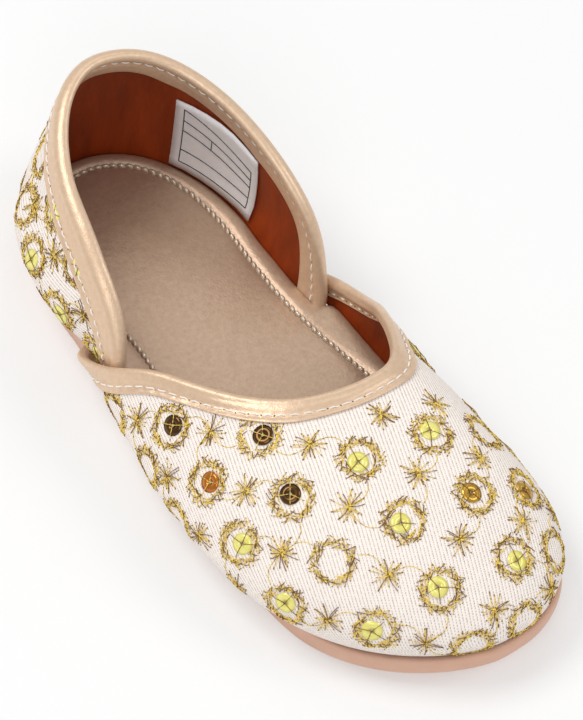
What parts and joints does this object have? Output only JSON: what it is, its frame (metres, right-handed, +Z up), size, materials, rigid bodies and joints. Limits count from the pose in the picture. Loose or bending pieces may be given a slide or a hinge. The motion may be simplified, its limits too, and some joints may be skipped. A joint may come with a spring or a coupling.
{
  "type": "mojari shoe",
  "caption": "Child's slip-on mojari: cream fabric upper with gold thread embroidery, champagne bindings at throat and collar, padded footbed and a low moulded sole",
  "frame": {"origin": "on the floor, at the middle of the bounding box", "axes": "+Z up, the toe points to -Y, the inner side of the foot is +X"},
  "size_m": [0.08, 0.1808, 0.0565],
  "materials": {
    "outsole_rubber": "satin moulded",
    "footbed_cover": "metallic champagne, fine grain",
    "upper_fabric": "ribbed, with gold thread embroidery",
    "binding_tape": "metallic champagne, soft",
    "label_weave": "smooth woven, plain"
  },
  "bodies": {
    "root": {"outsole": "outsole_rubber", "insole": "footbed_cover", "vamp": "upper_fabric", "quarter": "upper_fabric", "vamp_binding": "binding_tape", "quarter_binding": "binding_tape", "size_label": "label_weave"}
  },
  "joints": []
}
